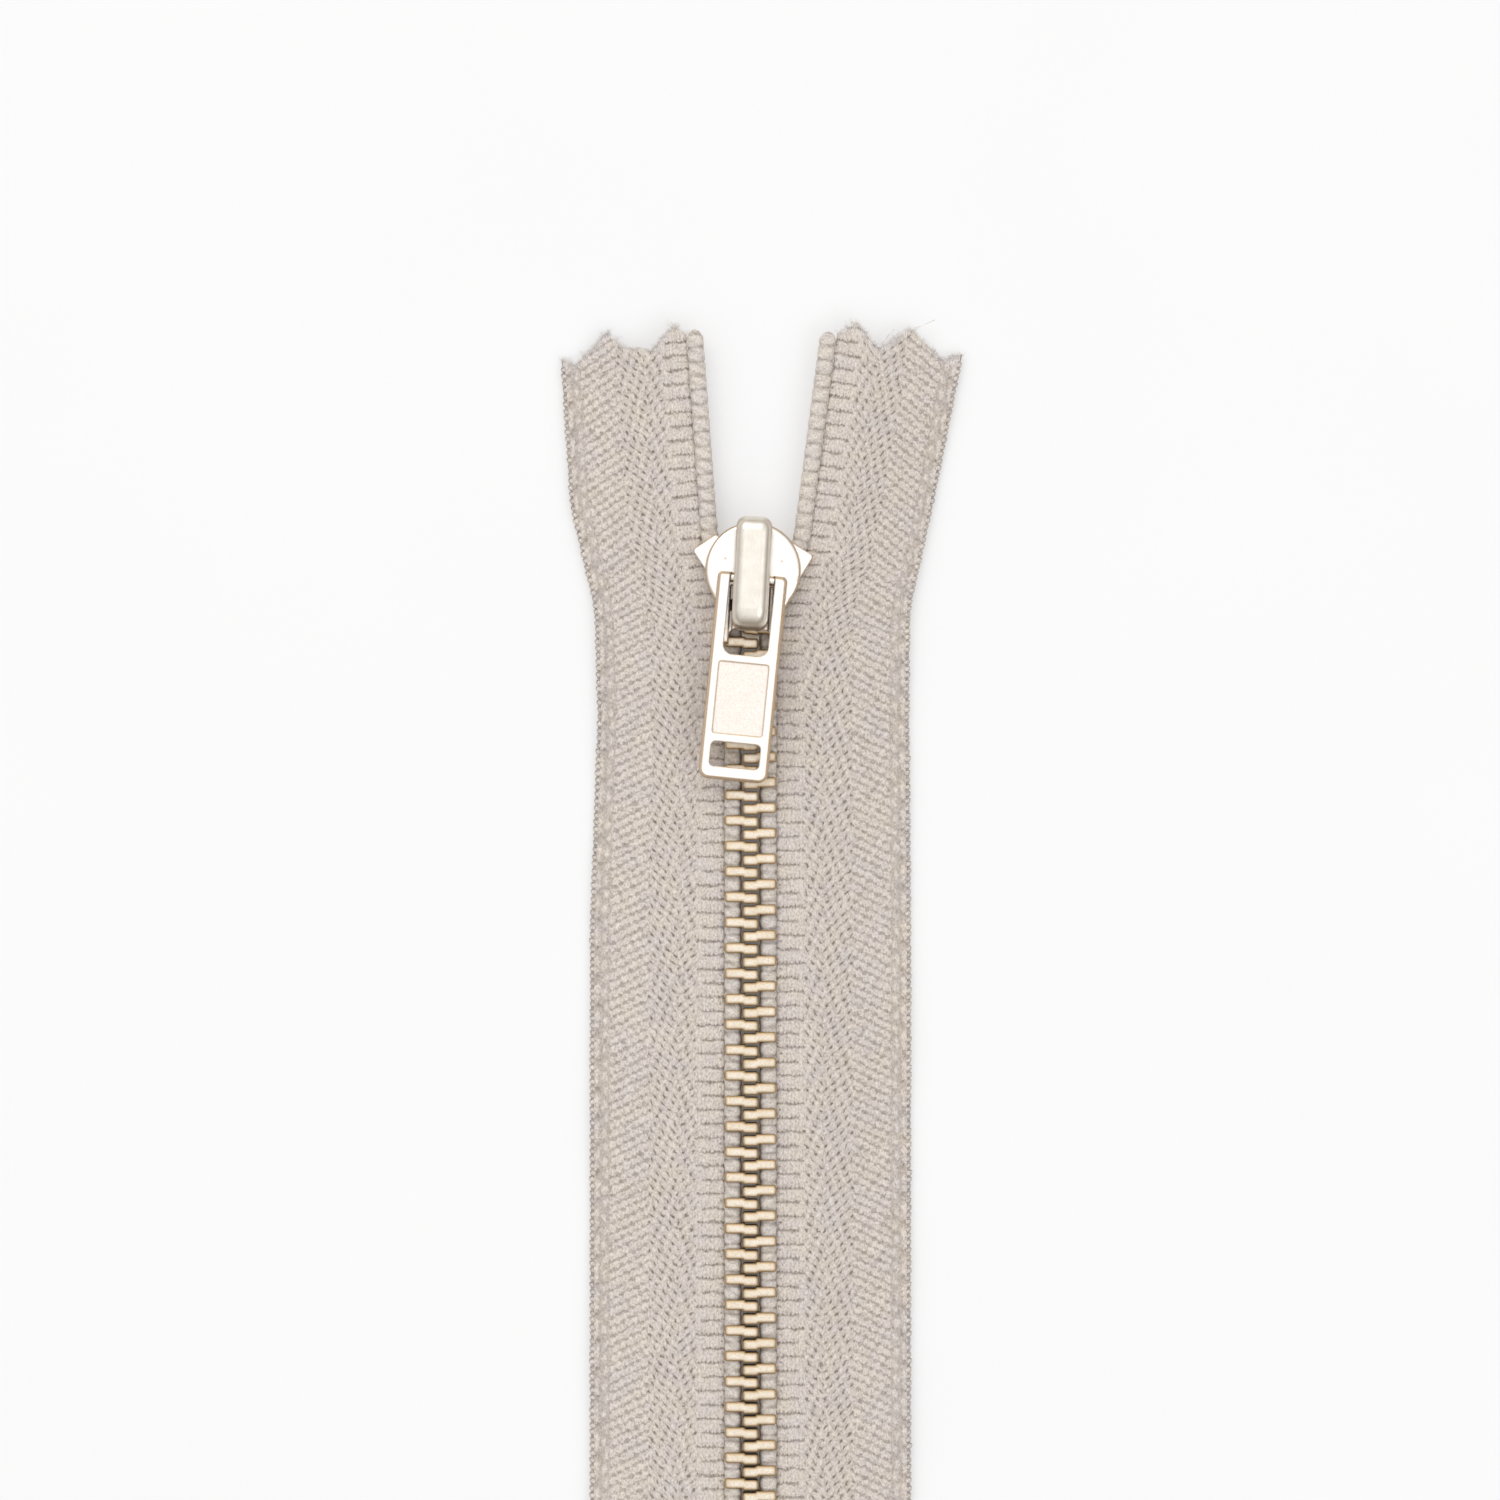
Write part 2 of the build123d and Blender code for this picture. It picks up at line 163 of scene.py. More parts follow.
class Half:
    """One half of the zipper: its bead cord's line and the map from (across, along) to the tape's surface.

    Along is the length up the bead cord from its bottom end.
    Across runs from 0 at the seam to 1 at the tape's outer edge."""

    def __init__(self, side):
        self.side = side
        corners = [(BEAD_X, TAPE_LOW), (BEAD_X, PART_Y), SHOULDER[side], ROUTE_TOP[side]]
        line = rounded_line(corners, ROUTE_RADII)
        ends = [line[0] - (line[5] - line[0]) * 20, line[-1] + (line[-1] - line[-6]) * 20]
        line = np.concatenate([[ends[0]], line, [ends[1]]])
        keep = np.concatenate([[True], np.linalg.norm(np.diff(line, axis=0), axis=1) > 1e-6])
        line = line[keep]
        reach = np.concatenate([[0], np.cumsum(np.linalg.norm(np.diff(line, axis=0), axis=1))])
        self.reach = reach - np.interp(TAPE_LOW, line[:, 1], reach)
        self.line = line
        self.length = float(np.interp(ROUTE_TOP[side][1], line[:, 1], self.reach))
        outer = rounded_line(OUTER[side], [OUTER_RADIUS] * 4)
        top_way, low_way = outer[0] - outer[5], outer[-1] - outer[-6]
        outer = np.concatenate([[outer[0] + top_way * 20], outer, [outer[-1] + low_way * 20]])[::-1]
        along = np.arange(-6, self.length + 6, 0.25)
        middle, way = self.centre(along)
        inner = middle + (BEAD_HALF + 0.02) * np.stack([way[:, 1], -way[:, 0]], 1)
        tilt = ROW_TILT[side] * smoothstep((inner[:, 1] - TILT_START) / TILT_RUN)
        ray = np.stack([np.cos(tilt), -np.sin(tilt)], 1)
        wide = np.full(len(along), TAPE_WIDE)
        for _ in range(12):
            y = inner[:, 1] + wide * ray[:, 1]
            wide = (np.interp(y, outer[:, 1], outer[:, 0]) - inner[:, 0]) / ray[:, 0]
        self.along, self.inner, self.outer = along, inner, inner + wide[:, None] * ray
        self.phase = random.uniform(0, 6.28, 6)

    def cord(self, along):
        """The bead cord's centre, for the half on the +X side."""
        return np.stack([np.interp(along, self.reach, self.line[:, k]) for k in (0, 1)], -1)

    def centre(self, along):
        """The bead cord's centre and its direction there, for the half on the +X side."""
        way = self.cord(along + 0.4) - self.cord(along - 0.4)
        return self.cord(along), way / np.linalg.norm(way, axis=-1, keepdims=True)

    def place(self, x, y, z):
        """Millimetres of the shared frame, from the +X half's own."""
        return np.stack([self.side * x + MIDDLE_X, y + MOUTH_Y, z], -1)

    def flat(self, across, along):
        """The tape's plan point for (across, along), on the +X side."""
        i = [np.interp(along, self.along, self.inner[:, k]) for k in (0, 1)]
        o = [np.interp(along, self.along, self.outer[:, k]) for k in (0, 1)]
        return i[0] + across * (o[0] - i[0]), i[1] + across * (o[1] - i[1])

    def surface(self, across, along, rise=0.0):
        """A point of the tape, rise above (or below) its middle surface."""
        x, y = self.flat(across, along)
        deep = across * TAPE_WIDE
        edge = smoothstep((deep - DROOP_START) / DROOP_RUN)
        wave = sum(high * np.sin(y / long + turn) for (high, long), turn in zip(WAVES, self.phase))
        ripple = RIPPLE * np.sin(y / RIPPLE_LONG + deep / RIPPLE_WIDE + self.phase[3])
        z = TAPE_Z - edge * (DROOP - wave) + ripple * smoothstep((deep - 1) / 3)
        return self.place(x, y, z + rise)

    def ends(self, across):
        """Where the cloth stops along a column: (bottom, top), following the pinked cuts."""
        across = np.asarray(across, float)
        along = np.linspace(self.length - 9, self.length + 5, 281)
        cut = np.array(CUT[self.side])
        x, y = self.flat(across[:, None], along[None, :])
        over = y - np.interp(x, cut[:, 0], cut[:, 1])
        first = np.argmax(over > 0, axis=1)
        saw = np.abs((across * PINK_TURNS) % 2 - 1) * PINK_DEEP - PINK_DEEP
        return saw, along[first]


# ---------------------------------------------------------------- meshes

def new_piece(name, points, faces, material, **shades):
    """A mesh piece from millimetres of the shared frame and quads, with named numbers for each point."""
    mesh = bpy.data.meshes.new(name)
    points = np.asarray(points, np.float32).reshape(-1, 3) * MM
    faces = np.asarray(faces, np.int32).reshape(-1, 4)
    mesh.vertices.add(len(points))
    mesh.vertices.foreach_set("co", points.ravel())
    mesh.loops.add(faces.size)
    mesh.loops.foreach_set("vertex_index", faces.ravel())
    mesh.polygons.add(len(faces))
    mesh.polygons.foreach_set("loop_start", np.arange(0, faces.size, 4, dtype=np.int32))
    mesh.update(calc_edges=True)
    mesh.validate()
    mesh.polygons.foreach_set("use_smooth", np.ones(len(mesh.polygons), bool))
    for shade, values in shades.items():
        layer = mesh.attributes.new(shade, "FLOAT", "POINT")
        layer.data.foreach_set("value", np.ascontiguousarray(values, np.float32).ravel())
    mesh.materials.append(material)
    piece = bpy.data.objects.new(name, mesh)
    bpy.context.scene.collection.objects.link(piece)
    return piece


def patch_faces(rows, columns, flip):
    """Quads of a grid of rows x columns points."""
    r, c = np.meshgrid(np.arange(rows - 1), np.arange(columns - 1), indexing="ij")
    a = (r * columns + c).ravel()
    quad = np.stack([a, a + columns, a + columns + 1, a + 1], 1)
    return quad[:, ::-1] if flip else quad


def tube_faces(count, rings, around):
    """Quads of count separate open tubes of rings x around points."""
    r, k = np.meshgrid(np.arange(rings - 1), np.arange(around), indexing="ij")
    a, b = (r * around + k).ravel(), (r * around + (k + 1) % around).ravel()
    quad = np.stack([a, b, b + around, a + around], 1)
    return (quad[None] + (np.arange(count) * rings * around)[:, None, None]).reshape(-1, 4)


def tubes(paths, radii, around):
    """Points of round tubes along paths, an array of (count, rings, 3), with a radius for each ring."""
    way = np.gradient(paths, axis=1)
    way /= np.linalg.norm(way, axis=2, keepdims=True) + 1e-9
    up = np.array([0.12, 0.07, 1.0])
    one = np.cross(way, up)
    one /= np.linalg.norm(one, axis=2, keepdims=True) + 1e-9
    two = np.cross(one, way)
    angle = np.arange(around) * 2 * math.pi / around
    ring = np.cos(angle)[:, None] * one[:, :, None] + np.sin(angle)[:, None] * two[:, :, None]
    return paths[:, :, None] + ring * radii[..., None, None]


# ---------------------------------------------------------------- the weave, for meshes and for shaders

class Value:
    """A shader socket that takes part in sums, so that one formula serves a mesh and its material."""

    def __init__(self, tree, socket):
        self.tree, self.socket = tree, socket

    def maths(self, operation, *others, clamp=False):
        node = self.tree.nodes.new("ShaderNodeMath")
        node.operation, node.use_clamp = operation, clamp
        for target, value in zip(node.inputs, (self, *others)):
            if isinstance(value, Value):
                self.tree.links.new(value.socket, target)
            else:
                target.default_value = value
        return Value(self.tree, node.outputs[0])

    def __add__(self, other):
        return self.maths("ADD", other)

    def __sub__(self, other):
        return self.maths("SUBTRACT", other)

    def __mul__(self, other):
        return self.maths("MULTIPLY", other)

    def __truediv__(self, other):
        return self.maths("DIVIDE", other)

    __radd__, __rmul__ = __add__, __mul__

    def __rsub__(self, other):
        return self * -1 + other


def nearest(x):
    """The nearest whole number."""
    return x.maths("ROUND") if isinstance(x, Value) else np.round(x)


def clipped(x):
    """x, held between 0 and 1."""
    return x.maths("ADD", 0.0, clamp=True) if isinstance(x, Value) else np.clip(x, 0, 1)


def larger(x, y):
    """The larger of two."""
    return x.maths("MAXIMUM", y) if isinstance(x, Value) else np.maximum(x, y)


def oval(x, y, half, turn):
    """1 in the middle of an oval turned by some degrees, 0 outside it."""
    c, s = math.cos(math.radians(turn)), math.sin(math.radians(turn))
    long, wide = (x * c + y * s) / half[0], (y * c - x * s) / half[1]
    return clipped(1 - (long * long + wide * wide))


def spots(u, d, first, pitch, shift, half, turn):
    """Ovals on a slanted lattice: pitch apart across, a ROW apart down, each row a quarter pitch on."""
    row = nearest((d - first[1]) / ROW)
    x = u - first[0] - row * (shift * pitch / 4)
    return oval(x - nearest(x / pitch) * pitch, d - first[1] - row * ROW, half, turn)


def each(u, d, at, half, turn=0.0):
    """One oval in each repeat."""
    y = d - at[1]
    return oval(u - at[0], y - nearest(y / REPEAT) * REPEAT, half, turn)


def before(u, edge, soft=0.08):
    """1 nearer the seam than edge, 0 beyond it."""
    return clipped((edge - u) / soft + 0.5)


def rib_band(u, d):
    """Blocks of soft strands beside the cord, parted by a short and a long groove in each repeat."""
    strand = u - nearest(u / STRAND) * STRAND
    bow = strand * strand * STRAND_BOW
    short = each(u * 0, d + bow, (0.0, SHORT_GROOVE), (1.0, GROOVE_HALF)) * before(u, RIBS_SHORT)
    long = each(u * 0, d + bow, (0.0, LONG_GROOVE), (1.0, GROOVE_HALF)) * before(u, RIBS_LONG)
    hole = each(u, d, STITCH_HOLE, (0.14, 0.12))
    furrow = clipped(strand * strand * (4 / STRAND**2) - 0.5)
    return 0.86 - larger(larger(short, long) * 0.64, hole * 0.75) - furrow * 0.75


def plain_band(u, d, first, pitch, shift, turn):
    """Flat weave with a slanted pit at each crossing and a raised upright float between pits; the material
    paints the pits as shade and the floats as highlight.
    """
    pit = spots(u, d, first, pitch, shift, PIT, turn)
    rise = spots(u, d, (first[0] + pitch / 2, first[1]), pitch, shift, FLOAT, 90.0)
    dash = spots(u, d, (first[0] + pitch / 2, first[1] + ROW / 2), pitch, shift, DASH, turn)
    return 0.68 - pit * 0.70 - dash * 0.26 + rise * 0.28


def twill_band(u, d):
    """Slanting pads in diagonal lines over a lower ground; the material paints the ground as shade and the
    pads' domes as highlight.
    """
    pads = larger(*(spots(u, d, first, TWILL_PITCH, -1, PAD, PAD_TURN) for first in PAD_STARTS))
    return 0.34 + clipped(pads * 3.2) * 0.40 + pads * 0.16


def edge_band(u, d):
    """The last warps before the rim: two floats, two rim pads and a sunk hole in each repeat, which the
    material paints as shade.
    """
    float_low = each(u, d, (10.2, 1.36), (0.48, 0.27), 82.0)
    float_high = each(u, d, (10.05, 0.10), (0.45, 0.27), 70.0)
    floats = larger(float_low, float_high)
    rim_long = each(u, d, (10.85, 0.95), (0.62, 0.30), 88.0)
    rim_short = each(u, d, (10.9, 1.75), (0.4, 0.28), 88.0)
    rim = larger(rim_long, rim_short)
    return 0.44 + larger(floats, rim) * 0.50 - each(u, d, (10.72, 2.25), (0.22, 0.24)) * 0.22


def weave(u, d):
    """Height of the yarns, 0 to 1, at u mm from the seam and d mm down the tape; as colour it is painted
    shade where low and painted highlight where high.
    """
    inner = plain_band(u, d, (2.55, 0.51), 0.936, -1, 55.0)
    outer = plain_band(u, d, (5.02, 0.51), 0.893, 1, 125.0)
    y = d - SHORT_GROOVE
    y = y - nearest(y / REPEAT) * REPEAT
    rib_end = RIBS_SHORT + (RIBS_LONG - RIBS_SHORT) * clipped(y * y * 40 - 1.2)
    in_ribs, in_inner, in_outer, in_twill = (before(u, e) for e in (rib_end, 3.97, 6.42, 9.72))
    height = edge_band(u, d)
    bands = ((twill_band(u, d), in_twill), (outer, in_outer), (inner, in_inner), (rib_band(u, d), in_ribs))
    for band, inside in bands:
        height = height + (band - height) * inside
    return height - before(u, SEAM, 0.1) * 0.5


# ---------------------------------------------------------------- materials

class Nodes:
    """A material's node tree, with short ways to add and join its nodes."""

    def __init__(self, name):
        self.material = bpy.data.materials.new(name)
        self.material.use_nodes = True
        self.tree = self.material.node_tree
        self.shader = next(n for n in self.tree.nodes if n.type == "BSDF_PRINCIPLED")
        self.place = self.add("ShaderNodeTexCoord")
        self.coordinates = self.place.outputs["Object"]

    def add(self, kind, **settings):
        node = self.tree.nodes.new(kind)
        for name, value in settings.items():
            setattr(node, name, value)
        return node

    def join(self, source, target):
        self.tree.links.new(source, target)

    def set(self, **values):
        for name, value in values.items():
            self.shader.inputs[name.replace("_", " ")].default_value = value

    def noise(self, scale, detail=2.0, rough=0.5):
        """Noise with scale repeats a metre along each axis."""
        mapping = self.add("ShaderNodeMapping")
        mapping.inputs["Scale"].default_value = scale if hasattr(scale, "__len__") else (scale,) * 3
        self.join(self.coordinates, mapping.inputs["Vector"])
        noise = self.add("ShaderNodeTexNoise")
        noise.inputs["Scale"].default_value = 1.0
        noise.inputs["Detail"].default_value = detail
        noise.inputs["Roughness"].default_value = rough
        self.join(mapping.outputs["Vector"], noise.inputs["Vector"])
        return noise.outputs["Fac"]

    def ramp(self, source, stops):
        """Grey levels or colours at stops of the source."""
        ramp = self.add("ShaderNodeValToRGB")
        elements = ramp.color_ramp.elements
        while len(elements) < len(stops):
            elements.new(0.5)
        for element, (position, colour) in zip(elements, stops):
            element.position = position
            element.color = (*colour, 1) if hasattr(colour, "__len__") else (colour, colour, colour, 1)
        self.join(source, ramp.inputs["Fac"])
        return ramp.outputs["Color"]

    def mix(self, factor, a, b, blend="MIX"):
        """From a to b by factor; each is a socket, a number or a colour."""
        node = self.add("ShaderNodeMix", data_type="RGBA", blend_type=blend)
        for socket, value in zip((node.inputs["Factor"], node.inputs[6], node.inputs[7]), (factor, a, b)):
            if isinstance(value, bpy.types.NodeSocket):
                self.join(value, socket)
            else:
                socket.default_value = (*value, 1) if hasattr(value, "__len__") else value
        return node.outputs[2]

    def maths(self, operation, a, b=0.0, clamp=False):
        node = self.add("ShaderNodeMath", operation=operation, use_clamp=clamp)
        for socket, value in zip(node.inputs, (a, b)):
            if isinstance(value, bpy.types.NodeSocket):
                self.join(value, socket)
            else:
                socket.default_value = value
        return node.outputs[0]

    def attribute(self, name):
        return self.add("ShaderNodeAttribute", attribute_name=name).outputs["Fac"]

    def bump(self, height, strength, distance, under=None):
        node = self.add("ShaderNodeBump")
        node.inputs["Strength"].default_value = strength
        node.inputs["Distance"].default_value = distance
        self.join(height, node.inputs["Height"])
        if under is not None:
            self.join(under, node.inputs["Normal"])
        return node.outputs["Normal"]

    def crevice_shade(self, reach):
        """1 deep in narrow gaps, 0 on open faces: how much painted shade a point takes."""
        shade = self.add("ShaderNodeAmbientOcclusion", samples=6)
        shade.inputs["Distance"].default_value = reach
        return self.ramp(shade.outputs["AO"], [(0.10, 1.0), (0.42, 0.0)])

    def side_shade_mask(self):
        """0 on the piece's level faces, 1 on its sides and rounded rims: where painted shade goes."""
        split = self.add("ShaderNodeSeparateXYZ")
        self.join(self.place.outputs["Normal"], split.inputs[0])
        return self.ramp(self.maths("ABSOLUTE", split.outputs["Z"]), [(0.72, 1.0), (0.985, 0.0)])

    def edges(self, radius, low, high):
        """A weight that is 1 on edges sharper than radius, for painted shade along them, and the normal with
        those edges rounded.
        """
        bevel = self.add("ShaderNodeBevel", samples=6)
        bevel.inputs["Radius"].default_value = radius
        normal = self.add("ShaderNodeNewGeometry").outputs["Normal"]
        dot = self.add("ShaderNodeVectorMath", operation="DOT_PRODUCT")
        self.join(bevel.outputs["Normal"], dot.inputs[0])
        self.join(normal, dot.inputs[1])
        span = self.add("ShaderNodeMapRange")
        for name, value in (("From Min", 1 - low), ("From Max", 1 - high), ("To Min", 0.0), ("To Max", 1.0)):
            span.inputs[name].default_value = value
        self.join(dot.outputs["Value"], span.inputs["Value"])
        return span.outputs["Result"], bevel.outputs["Normal"]


# The painted shade of narrow gaps, a warm dark, and how near the walls of a gap have to be
CREVICE_SHADE, CREVICE_REACH = (0.22, 0.16, 0.10), 0.0018


def fabric(name, light, dark, fibre, sheen=0.35, woven=False, gap_shade=False):
    """Spun polyester yarn: patchy warm and lilac greys, fine fibres along the yarn, and a soft sheen; the
    woven tape also takes painted shade and highlight from its weave.
    """
    m = Nodes(name)
    # Each point's own lightness: random on most pieces, with painted shade in the bead cord's grooves and
    # twists.
    tone = m.attribute("tone")
    if woven:
        u, d = (Value(m.tree, m.attribute(word)) for word in ("across", "down"))
        wander = Value(m.tree, m.noise(1900.0, 2)) - 0.5
        fuzz = Value(m.tree, m.noise(4600.0, 2, 0.6)) - 0.5
        stray = Value(m.tree, m.noise(1300.0, 3, 0.6)) - 0.5
        u = u + wander * 0.50 + fuzz * 0.30
        d = d + stray * 0.50 - fuzz * 0.36
        height = clipped(weave(u, d) + stray * 0.55 + fuzz * 0.45)
        # Painted shade and highlight: the yarns' height turned into colour, dark in the pits, grooves and
        # seam, light on the floats and pads.
        tone = m.ramp(height.socket, [(0.0, 0.0), (0.35, 0.50), (0.70, 0.82), (1.0, 1.0)])
    body = m.mix(tone, dark, light)
    patches = m.ramp(m.noise(420.0, 3), [(0.38, (0.965, 0.962, 1.0)), (0.62, (1.0, 0.985, 0.955))])
    body = m.mix(1.0, body, patches, "MULTIPLY")
    strands = m.noise(fibre, 3, 0.6)
    flecks = m.ramp(strands, [(0.30, 0.66), (0.5, 1.0), (0.70, 1.22)])
    body = m.mix(1.0, body, flecks, "MULTIPLY")
    # Painted shade: the yarn darkens in narrow gaps, such as the cord inside the slider.
    if gap_shade:
        body = m.mix(m.crevice_shade(CREVICE_REACH), body, CREVICE_SHADE)
    m.join(body, m.shader.inputs["Base Color"])
    m.join(m.ramp(strands, [(0.3, 0.62), (0.7, 0.85)]), m.shader.inputs["Roughness"])
    normal = m.bump(height.socket, 0.35, 0.00010) if woven else None
    m.join(m.bump(strands, 0.5, 0.00003, normal), m.shader.inputs["Normal"])
    m.set(Sheen_Weight=sheen, Sheen_Roughness=0.45, Sheen_Tint=(1, 0.97, 0.93, 1), Specular_IOR_Level=0.32)
    return m.material


# edge is the colour of the grain's specks and of the painted shade on edges and sides; soft is the rounding
# of those edges, and warm is how much painted shade the sides take.
def metal(
    name, colour, dull, edge, rough, grain, brush=None, speckle=14000.0, panel=False, soft=0.00012, warm=0.3
):
    """Plated metal: cloudy roughness, fine scratches or grain, and painted shade as warm dark lines along its
    edges, over its sides and in its narrow gaps.
    """
    m = Nodes(name)
    clouds = m.noise(900.0, 4, 0.6)
    fine = m.noise(brush or speckle, 3, 0.65)
    body = m.mix(m.ramp(clouds, [(0.35, 0.0), (0.7, 1.0)]), colour, dull)
    body = m.mix(m.maths("MULTIPLY", m.ramp(fine, [(0.45, 0.0), (0.8, 1.0)]), grain), body, edge)
    # Painted shade: a warm dark along the rounded edges and over the sides, where the metal would mirror
    # darker surroundings.
    edge_shade, rounded = m.edges(soft, 0.002, 0.04)
    body = m.mix(edge_shade, body, edge)
    body = m.mix(m.maths("MULTIPLY", m.side_shade_mask(), warm), body, edge)
    # Painted shade in narrow gaps and hollows.
    body = m.mix(m.crevice_shade(CREVICE_REACH), body, CREVICE_SHADE)
    spread = m.maths("MULTIPLY", m.maths("ADD", clouds, fine), 0.12)
    if panel:
        height = m.add("ShaderNodeSeparateXYZ")
        m.join(m.coordinates, height.inputs[0])
        inside = Value(m.tree, height.outputs["Z"]).maths("COMPARE", PANEL_Z, PANEL_NEAR).socket
        stipple = m.noise(7000.0, 2, 0.7)
        cover = m.maths("MULTIPLY", inside, m.ramp(stipple, [(0.35, 0.75), (0.65, 0.15)]))
        body = m.mix(cover, body, PANEL_COLOUR)
        spread = m.maths("ADD", spread, m.maths("MULTIPLY", inside, 0.16))
    m.join(body, m.shader.inputs["Base Color"])
    m.join(m.maths("ADD", spread, rough - 0.12, clamp=True), m.shader.inputs["Roughness"])
    m.join(m.bump(fine, 0.25, 0.000012, rounded), m.shader.inputs["Normal"])
    m.set(Metallic=1.0)
    return m.material


# Colours and grains; the panel is the sunk field on the pull tab's upper face, at height PANEL_Z
# The dark yarn colour is the painted shade of the tape's pits and grooves.
LIGHT_YARN, YARN_IN_SHADE = (0.69, 0.632, 0.577), (0.23, 0.19, 0.16)
ALONG_YARN, ACROSS_YARN = (9000.0, 2500.0, 9000.0), (1500.0, 9000.0, 9000.0)
PANEL_Z, PANEL_NEAR, PANEL_COLOUR = 0.00524, 0.00004, (0.76, 0.655, 0.57)
yarn = fabric("tape_yarn", LIGHT_YARN, YARN_IN_SHADE, (6500.0, 4200.0, 6500.0), woven=True)
edge_yarn = fabric("edge_yarn", LIGHT_YARN, (0.36, 0.31, 0.27), ALONG_YARN)
core_yarn = fabric("weft_yarn", (0.60, 0.55, 0.50), (0.48, 0.44, 0.40), ACROSS_YARN)
cord_yarn = fabric("cord_yarn", (0.70, 0.65, 0.595), (0.34, 0.295, 0.26), (6000.0,) * 3, gap_shade=True)
fray = fabric("frayed_fibre", (0.95, 0.925, 0.89), (0.80, 0.765, 0.72), (2500.0,) * 3, 0.6)
nickel = metal(
    "polished_nickel", (0.95, 0.925, 0.885), (0.92, 0.885, 0.84), (0.62, 0.42, 0.24), 0.20, 0.10,
    panel=True, soft=0.00020, warm=0.75,
)
satin = metal(
    "satin_nickel", (0.87, 0.82, 0.745), (0.78, 0.73, 0.655), (0.42, 0.32, 0.22), 0.34, 0.22,
    brush=(16000.0, 1600.0, 16000.0), warm=0.12,
)
brass = metal(
    "plated_brass", (0.84, 0.77, 0.665), (0.76, 0.67, 0.54), (0.50, 0.34, 0.17), 0.42, 0.62,
    speckle=6500.0, soft=0.00036, warm=0.7,
)
# The spring's dark brown is painted shade, standing in for the shade inside the slider's rear notch.
steel_in_shade = metal("spring_steel", (0.34, 0.29, 0.24), (0.28, 0.24, 0.20), (0.22, 0.16, 0.11), 0.38, 0.2)


# ---------------------------------------------------------------- the cloth

def make_cloth(name, half):
    """The tape's thin woven core, closed all round, with pinked ends."""
    across = np.linspace(0, 1, CORE_COLUMNS)
    low, top = half.ends(across)
    head = half.length - HEAD
    rows = [low + (TAIL - low) * k / TAIL_ROWS for k in range(TAIL_ROWS)]
    rows += [np.full(CORE_COLUMNS, a) for a in np.arange(TAIL, head, CORE_ROW)]
    rows += [head + (top - head) * k / HEAD_ROWS for k in range(HEAD_ROWS + 1)]
    along = np.array(rows)
    wide = np.broadcast_to(across, along.shape)
    count, columns = along.shape
    upper = half.surface(wide, along, CORE_HALF).reshape(-1, 3)
    lower = half.surface(wide, along, -CORE_HALF).reshape(-1, 3)
    top_faces = patch_faces(count, columns, half.side > 0)
    low_faces = patch_faces(count, columns, half.side < 0) + len(upper)
    index = np.arange(count * columns).reshape(count, columns)
    rim = np.concatenate([index[0, :], index[1:, -1], index[-1, -2::-1], index[-2:0:-1, 0]])
    after = np.roll(rim, -1)
    walls = np.stack([rim, after, after + len(upper), rim + len(upper)], 1)
    if half.side < 0:
        walls = walls[:, ::-1]
    faces = np.concatenate([top_faces, low_faces, walls])
    points = np.concatenate([upper, lower])
    return new_piece(name, points, faces, core_yarn, tone=random.uniform(0, 1, len(points)))


def wobble(shape, passes):
    """Soft random numbers on a grid, about -2 to 2, alike at neighbouring points."""
    field = random.normal(0, 1, shape)
    for _ in range(passes):
        field = (field + np.roll(field, 1, 0) + np.roll(field, 1, 1) + np.roll(field, (1, 1), (0, 1))) / 4
    return field / field.std()


def make_weave(name, half, under):
    """One woven face of the tape: a fine grid raised and sunk by the yarns, ending at the pinked cuts."""
    fine_across, fine_along = (2 * FINE_ACROSS, 3 * FINE_ALONG) if under else (FINE_ACROSS, FINE_ALONG)
    deep = np.arange(-0.05, TAPE_WIDE - TAPE_MARGIN, fine_across)
    start = WEAVE_START[half.side]
    rows = np.arange(-2.2, half.length + 3.0, fine_along)
    rows += start % fine_along
    low, top = half.ends(deep / TAPE_WIDE)
    along = np.clip(rows[:, None], low[None], top[None])
    deep = np.broadcast_to(deep, along.shape)
    down = start - along
    sway, slip = wobble(along.shape, 3), wobble(along.shape, 3)
    height = weave(deep + WEAVE_SWAY * sway, down + WEAVE_SLIP * slip)
    to_end = np.minimum(along - low, top - along)
    to_side = np.minimum(deep + TAPE_MARGIN, TAPE_WIDE - TAPE_MARGIN - deep)
    woolly = random.normal(0, WEAVE_WOOL, along.shape)
    ease = np.clip(to_end / 0.2, 0, 1) * np.clip(to_side / TAPE_MARGIN, 0.2, 1)
    rise = CORE_HALF + 0.004 + YARN_RISE * (height + woolly) * ease
    points = half.surface(deep / TAPE_WIDE, along, -rise if under else rise)
    faces = patch_faces(*along.shape, (half.side > 0) != under)
    span = along.reshape(-1)[faces]
    faces = faces[span.max(1) - span.min(1) > fine_along / 8]
    return new_piece(name, points, faces, yarn, across=deep, down=down)


def make_selvage(name, half):
    """The rim: soft slanting loops of weft wrapped round the tape's edge."""
    low, top = (float(e[0]) for e in half.ends([0.97]))
    along = np.arange(low + 0.3, top - 0.1, ROW)
    n, rings, around = len(along), 7, 6
    t = np.linspace(-1, 1, rings)[None, :]
    jitter = random.normal(0, 1, (3, n, 1))
    angle = t * LOOP_HALF
    deep = TAPE_WIDE - LOOP_IN + LOOP_OUT * np.cos(angle) + 0.02 * jitter[0]
    rise = (CORE_HALF + 0.07) * np.sin(angle)
    v = along[:, None] - 0.30 * np.abs(t) + 0.10 * t + 0.03 * jitter[1]
    paths = half.surface(deep / TAPE_WIDE, v, rise)
    radii = np.broadcast_to(LOOP_RADIUS * (1 - 0.40 * np.abs(t) ** 3) * (1 + 0.08 * jitter[2]), v.shape)
    points = tubes(paths, radii, around)
    tone = np.broadcast_to(np.clip(0.80 + 0.12 * jitter[2], 0, 1)[..., None], points.shape[:3])
    return new_piece(name, points, tube_faces(n, rings, around), edge_yarn, tone=tone)


